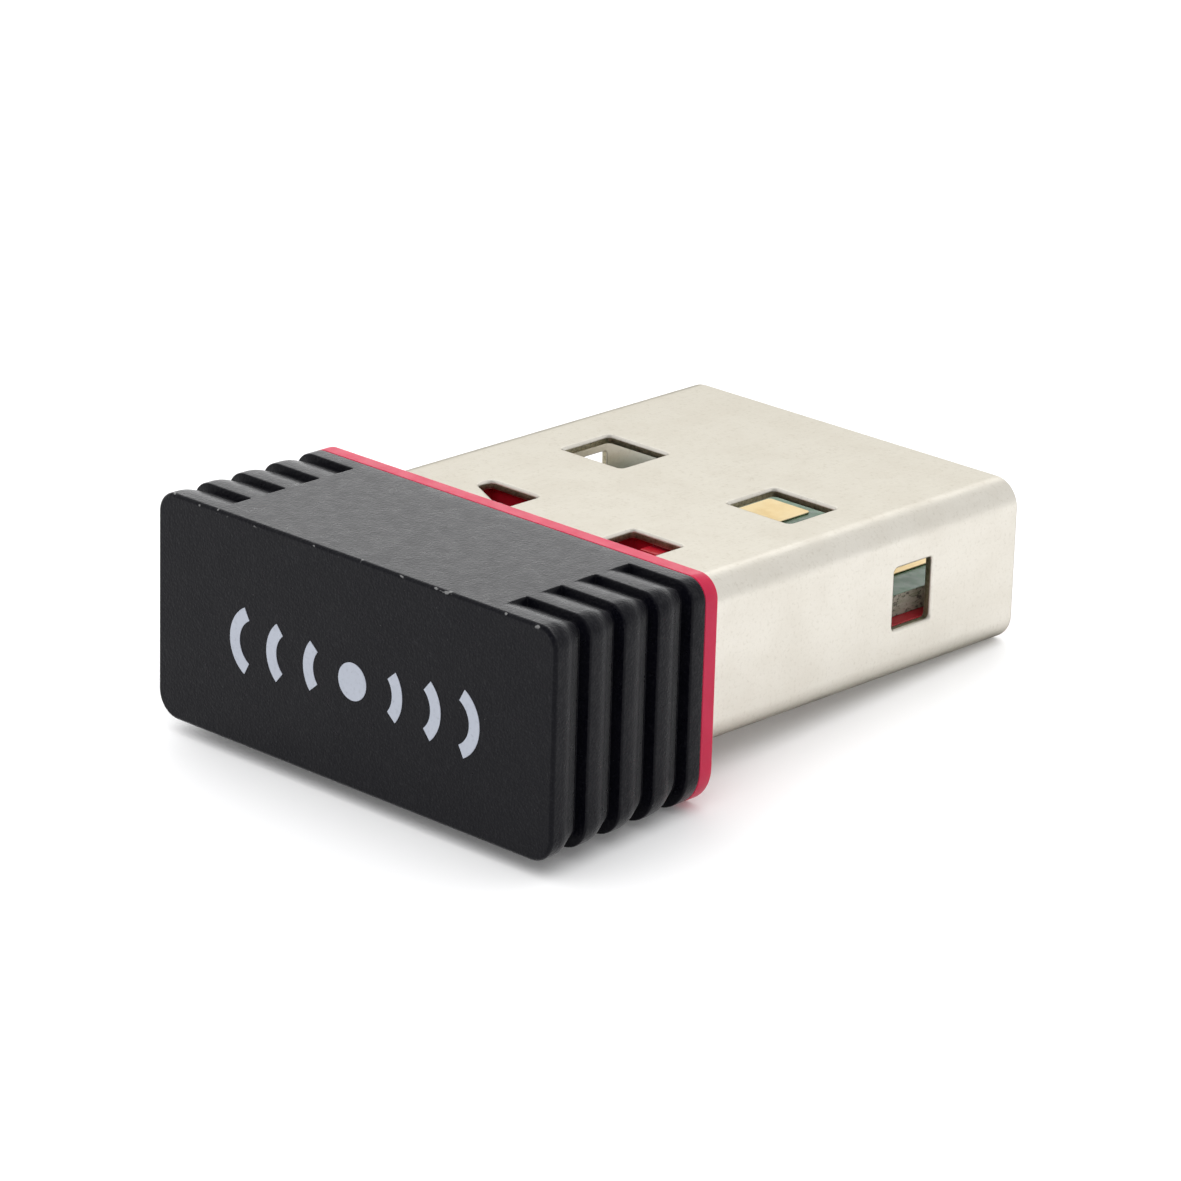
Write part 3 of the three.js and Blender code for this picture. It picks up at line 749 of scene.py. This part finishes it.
def board_tracks():
    """Copper under the mask: the antenna's feed, the crystal's pair and the four contacts' tails."""
    feed = middle_of("rf_filter")
    match = middle_of("matching_inductor")
    shunt = middle_of("tuning_capacitor")
    crystal = middle_of("crystal_base")
    near, far = middle_of("crystal_capacitor_1"), middle_of("crystal_capacitor_2")
    lines = [
        [feed + shift(0, 2.4), feed + shift(0, -1.0), feed + shift(0.9, -2.0), match],
        [crystal + shift(1.0, -0.5), near + shift(0, -0.75), near],
        [crystal + shift(-0.6, 0.8), crystal + shift(0, 1.6), far + shift(0, 0.9), far],
        [shunt + shift(0.2, 0), shunt + shift(1.3, -0.2), shunt + shift(1.4, -1.0)],
    ]
    for contact in CONTACTS:
        end = middle_of(contact)
        end.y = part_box(contact)[0].y
        lines.append([end + shift(0, 0.2), end + shift(0, -0.9), end + shift(-0.25 * end.x / MM, -1.7)])
    mesh_edit = bmesh.new()
    for line in lines:
        flat_line = [point.to_2d() for point in line]
        strip(mesh_edit, flat_line, TRACK_WIDTH / 2, BOARD_TOP - TRACK_RISE, BOARD_TOP + TRACK_RISE)
    bmesh.ops.recalc_face_normals(mesh_edit, faces=mesh_edit.faces)
    piece = piece_from(mesh_edit, "board_tracks", [TRACE])
    sharpen(piece)
    add_piece(piece)


def board_vias():
    """Plated holes that join the board's two sides, each a low ring with a dimple."""
    mesh_edit = bmesh.new()
    for x, y in VIAS:
        for side in (BOARD_TOP, BOARD_UNDER):
            sign = 1 if side == BOARD_TOP else -1
            rings = []
            for radius, rise in VIA_PROFILE:
                ring = []
                for step in range(VIA_STEPS if radius else 1):
                    turn = 2 * math.pi * step / VIA_STEPS
                    across = Vector((math.cos(turn), math.sin(turn), 0)) * radius * MM
                    ring.append(mesh_edit.verts.new(Vector((x, y, side + sign * rise * MM)) + across))
                rings.append(ring)
            for outer, inner in zip(rings, rings[1:]):
                for step in range(VIA_STEPS):
                    after = (step + 1) % VIA_STEPS
                    tip = [inner[0]] if len(inner) == 1 else [inner[after], inner[step]]
                    mesh_edit.faces.new([outer[step], outer[after], *tip])
    bmesh.ops.recalc_face_normals(mesh_edit, faces=mesh_edit.faces)
    piece = piece_from(mesh_edit, "board_vias", [GOLD])
    sharpen(piece, 50)
    add_piece(piece)


def flat_metal(node, name, material, width):
    piece = copy_of_node(node, name, [material])
    bevel(piece, width, 2)
    return add_piece(piece, stands_for=[node])


def block(mesh_edit, low, high, material_index=0):
    """Adds a box to a mesh being edited."""
    size = high - low
    place = Matrix.Translation((low + high) / 2) @ Matrix.Diagonal((*size, 1))
    made = bmesh.ops.create_cube(mesh_edit, size=1.0, matrix=place)
    for face in {face for vertex in made["verts"] for face in vertex.link_faces}:
        face.material_index = material_index


def piece_from(mesh_edit, name, materials):
    mesh = bpy.data.meshes.new(name)
    for face in mesh_edit.faces:
        face.smooth = True
    mesh_edit.to_mesh(mesh)
    mesh_edit.free()
    for material in materials:
        mesh.materials.append(material)
    made = bpy.data.objects.new(name, mesh)
    bpy.context.scene.collection.objects.link(made)
    return made


def chip(node, material):
    """A two-ended chip part: a body between two tinned ends that wrap round it."""
    low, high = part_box(node)
    size = high - low
    along = 0 if size.x > size.y else 1
    end = CHIP_END * size[along]
    shy = Vector((CHIP_BODY_SHY, CHIP_BODY_SHY, CHIP_BODY_SHY))
    mesh_edit = bmesh.new()
    middle_low = low + shy
    middle_high = high - shy
    middle_low[along] = low[along] + end / 2
    middle_high[along] = high[along] - end / 2
    block(mesh_edit, middle_low, middle_high, 0)
    for near, far in ((low[along], low[along] + end), (high[along] - end, high[along])):
        end_low, end_high = low.copy(), high.copy()
        end_low[along] = near
        end_high[along] = far
        block(mesh_edit, end_low, end_high, 1)
    piece = piece_from(mesh_edit, node + "_part", [material, TIN])
    bevel(piece, 0.03 * MM, 2)
    return add_piece(piece, stands_for=[node])


def solder_fillets(node):
    """The two hollow-faced fillets that join a chip part's ends to the board."""
    low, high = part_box(node)
    size = high - low
    along = 0 if size.x > size.y else 1
    middle = (low + high) / 2
    on_top = middle.z > BOARD_TOP
    foot = BOARD_TOP if on_top else BOARD_UNDER
    rise = (SOLDER_RISE if on_top else -SOLDER_RISE) * size.z
    half_width = SOLDER_HALF_WIDTH * size[1 - along]
    mesh_edit = bmesh.new()
    for end, outwards in ((low[along], -1), (high[along], 1)):
        rings = []
        for side in (-half_width, half_width):
            ring = []
            for reach, height in SOLDER_PROFILE:
                place = Vector((0, 0, foot + height * rise))
                place[along] = end + outwards * (reach * SOLDER_REACH - TRACK_RISE)
                place[1 - along] = middle[1 - along] + side
                ring.append(mesh_edit.verts.new(place))
            rings.append(ring)
        first, second = rings
        mesh_edit.faces.new(first)
        mesh_edit.faces.new(reversed(second))
        for i in range(len(SOLDER_PROFILE)):
            after = (i + 1) % len(SOLDER_PROFILE)
            mesh_edit.faces.new([first[after], first[i], second[i], second[after]])
    bmesh.ops.recalc_face_normals(mesh_edit, faces=mesh_edit.faces)
    piece = piece_from(mesh_edit, node + "_solder", [SOLDER])
    sharpen(piece, 60)
    add_piece(piece)


CHIP_MATERIALS = {"capacitor_ceramic": CAPACITOR, "resistor_black": RESISTOR, "alumina": ALUMINA}


def small_parts():
    """Every chip part that the record lists, in its own material."""
    shaped = {"crystal_base", "wifi_chip", "power_inductor"}
    for entry in frame["record"]["subparts"]:
        node, slot = entry["node"], entry["material_slot"]
        if slot in CHIP_MATERIALS and node not in shaped:
            chip(node, CHIP_MATERIALS[slot])
            solder_fillets(node)
    flat_metal("crystal_base", "crystal_body", ALUMINA, 0.04 * MM)
    flat_metal("crystal_lid", "crystal_cover", LID, 0.05 * MM)
    flat_metal("wifi_chip", "radio_chip", EPOXY, 0.05 * MM)
    flat_metal("power_inductor", "choke", FERRITE, 0.08 * MM)


# ---------------------------------------------------------------- printed mark

MARK_THICKNESS = 0.012 * MM
MARK_CENTRE = (0.12 * MM, 2.89 * MM)
MARK_LINE = 0.36 * MM
MARK_DOT = 0.5 * MM
MARK_DOT_STEPS = 40
MARK_HALF_HEIGHT = 0.89 * MM
MARK_RADIUS = 1.15 * MARK_HALF_HEIGHT  # of each wave's outer edge
MARK_WAVES = (  # how far out each wave is, and its share of the mark's height
    (1.6 * MM, 0.75),
    (2.95 * MM, 0.88),
    (4.3 * MM, 1.01),
)


def band(mesh_edit, inner, outer):
    """A thin closed strip between two lines of points of the same length, on the cap's blunt end."""
    front, back = BACK_Y - MARK_THICKNESS, BACK_Y + MARK_THICKNESS
    loops = []
    for x, z in [*inner, *reversed(outer)]:
        loops.append((mesh_edit.verts.new((x, front, z)), mesh_edit.verts.new((x, back, z))))
    count = len(inner)
    for i in range(count - 1):
        j = 2 * count - 1 - i
        mesh_edit.faces.new([loops[k][0] for k in (i, i + 1, j - 1, j)])
        mesh_edit.faces.new([loops[k][1] for k in (j, j - 1, i + 1, i)])
    for i in range(2 * count):
        after = (i + 1) % (2 * count)
        mesh_edit.faces.new([loops[i][1], loops[after][1], loops[after][0], loops[i][0]])
    bmesh.ops.recalc_face_normals(mesh_edit, faces=mesh_edit.faces)


def arc_points(side, reach, radius, half_angle, steps=24):
    """Points of an arc that bulges away from the mark's centre, on its left or right."""
    cx, cz = MARK_CENTRE
    middle = reach - radius
    points = []
    for step in range(steps + 1):
        turn = half_angle * (2 * step / steps - 1)
        points.append((cx + side * (middle + radius * math.cos(turn)), cz + radius * math.sin(turn)))
    return points


def printed_mark():
    """A plain wireless pictogram: a dot with three waves on each side."""
    for side, side_name in ((-1, "left"), (1, "right")):
        for number, (reach, share) in enumerate(MARK_WAVES, 1):
            half_angle = math.asin(share * MARK_HALF_HEIGHT / MARK_RADIUS)
            outer = arc_points(side, reach + MARK_LINE / 2, MARK_RADIUS, half_angle)
            inner = arc_points(side, reach - MARK_LINE / 2, MARK_RADIUS - MARK_LINE, half_angle)
            mesh_edit = bmesh.new()
            band(mesh_edit, inner, outer)
            piece = piece_from(mesh_edit, f"mark_wave_{side_name}_{number}", [INK])
            sharpen(piece)
            add_piece(piece, "cap")
    cx, cz = MARK_CENTRE
    mesh_edit = bmesh.new()
    ring = []
    for step in range(MARK_DOT_STEPS):
        turn = 2 * math.pi * step / MARK_DOT_STEPS
        ring.append((cx + MARK_DOT * math.cos(turn), cz + MARK_DOT * math.sin(turn)))
    front = [mesh_edit.verts.new((x, BACK_Y - MARK_THICKNESS, z)) for x, z in ring]
    back = [mesh_edit.verts.new((x, BACK_Y + MARK_THICKNESS, z)) for x, z in ring]
    mesh_edit.faces.new(front)
    mesh_edit.faces.new(reversed(back))
    for i in range(MARK_DOT_STEPS):
        after = (i + 1) % MARK_DOT_STEPS
        mesh_edit.faces.new([front[after], front[i], back[i], back[after]])
    bmesh.ops.recalc_face_normals(mesh_edit, faces=mesh_edit.faces)
    piece = piece_from(mesh_edit, "mark_dot", [INK])
    sharpen(piece)
    add_piece(piece, "cap")


# ---------------------------------------------------------------- stage

CAMERA_AZIMUTH = 43.315
CAMERA_ELEVATION = 19.728
CAMERA_ROLL = 1.654
CAMERA_DISTANCE = 138.55 * MM
CAMERA_TARGET = Vector((2.757 * MM, FACE_Y, 4.633 * MM))
SENSOR_WIDTH = 36.0
CAMERA_LENS = 167.55  # millimetres, on that sensor

TABLE_HALF = 3.0
TABLE_GLOW = 0.09
LIGHT_AIM = Vector((0, 0, 3 * MM))
OVERHEAD_PLACE = (0.05, -0.12, 0.6)
OVERHEAD_SIZE = (1.0, 1.0)
OVERHEAD_WATTS = 4.2
TENT = 1.02
TENT_PARTS = (  # a direction, where its light starts and is full, and how much it adds
    ((-0.646, 0.685, 0.25), 0.75, 0.98, 1.15),
    ((0.646, -0.685, 0.338), 0.1, 0.8, -0.5),
)


def camera():
    """A close view through a long lens, turned a little."""
    azimuth, elevation = math.radians(CAMERA_AZIMUTH), math.radians(CAMERA_ELEVATION)
    level = math.cos(elevation)
    back = Vector((math.sin(azimuth) * level, -math.cos(azimuth) * level, math.sin(elevation)))
    right = Vector((0, 0, 1)).cross(back).normalized()
    up = back.cross(right)
    roll = math.radians(CAMERA_ROLL)
    turned_right = right * math.cos(roll) + up * math.sin(roll)
    turned_up = up * math.cos(roll) - right * math.sin(roll)
    place = Matrix((turned_right, turned_up, back)).transposed().to_4x4()
    place.translation = CAMERA_TARGET + back * CAMERA_DISTANCE
    lens = bpy.data.cameras.new("camera")
    lens.sensor_width = SENSOR_WIDTH
    lens.lens = CAMERA_LENS
    lens.clip_start = 0.005
    lens.clip_end = 20.0
    made = bpy.data.objects.new("camera", lens)
    made.matrix_world = place
    bpy.context.scene.collection.objects.link(made)
    bpy.context.scene.camera = made


def floor():
    """A pale table. The adapter leans on its flange's lower edge and on the plug's tip."""
    half = TABLE_HALF
    corners = [(-half, -half, 0), (half, -half, 0), (half, half, 0), (-half, half, 0)]
    made = make_object("floor", corners, [[0, 1, 2, 3]], [])
    finish = Finish("pale_table", (0.88, 0.88, 0.885), 0.6)
    finish.tint(finish.ramp(finish.noise(30 * MM, 3), 0.4, 0.7, 0.0, 0.3), (0.86, 0.86, 0.865))
    finish.set("Emission Color", (1.0, 1.0, 1.0, 1.0))
    finish.set("Emission Strength", TABLE_GLOW)
    made.data.materials.append(finish.material)
    lean = math.atan2(PLUG_LOW.z, MOUTH_Y - FACE_Y)
    made.matrix_world = Matrix.Translation((0, FACE_Y, 0)) @ Matrix.Rotation(lean, 4, "X")


def area_light(name, place, size, power):
    """A soft light, aimed at the adapter, that its shiny faces don't mirror."""
    light = bpy.data.lights.new(name, "AREA")
    light.shape = "RECTANGLE"
    light.size, light.size_y = size
    light.energy = power
    made = bpy.data.objects.new(name, light)
    made.location = place
    made.rotation_mode = "QUATERNION"
    made.rotation_quaternion = (LIGHT_AIM - Vector(place)).to_track_quat("-Z", "Y")
    made.visible_glossy = False
    bpy.context.scene.collection.objects.link(made)


def lights():
    """A bright tent, brightest behind the adapter and dark around the lens."""
    world = bpy.data.worlds.new("studio")
    world.use_nodes = True
    nodes, links = world.node_tree.nodes, world.node_tree.links
    direction = nodes.new("ShaderNodeTexCoord").outputs["Generated"]
    strength = nodes.new("ShaderNodeValue").outputs["Value"]
    strength.default_value = TENT
    for towards, start, end, change in TENT_PARTS:
        facing = nodes.new("ShaderNodeVectorMath")
        facing.operation = "DOT_PRODUCT"
        links.new(direction, facing.inputs[0])
        facing.inputs[1].default_value = Vector(towards).normalized()
        spread = nodes.new("ShaderNodeMapRange")
        spread.interpolation_type = "SMOOTHSTEP"
        spread.inputs["From Min"].default_value = start
        spread.inputs["From Max"].default_value = end
        spread.inputs["To Max"].default_value = change
        links.new(facing.outputs["Value"], spread.inputs["Value"])
        total = nodes.new("ShaderNodeMath")
        links.new(spread.outputs["Result"], total.inputs[0])
        links.new(strength, total.inputs[1])
        strength = total.outputs["Value"]
    background = nodes["Background"]
    background.inputs["Color"].default_value = (1.0, 1.0, 1.0, 1.0)
    links.new(strength, background.inputs["Strength"])
    bpy.context.scene.world = world
    area_light("overhead", OVERHEAD_PLACE, OVERHEAD_SIZE, OVERHEAD_WATTS)


def stage():
    camera()
    floor()
    lights()
    bpy.context.scene.view_settings.view_transform = "Standard"
    bpy.context.scene.view_settings.look = "None"


# ---------------------------------------------------------------- the adapter

stage()
cap()
cap_ledges()
carrier()
plug()
board()
board_tracks()
board_vias()
for contact in CONTACTS:
    flat_metal(contact, contact + "_pad", GOLD, 0.015 * MM)
flat_metal("printed_antenna", "antenna_track", TRACE, 0.015 * MM)
small_parts()
printed_mark()
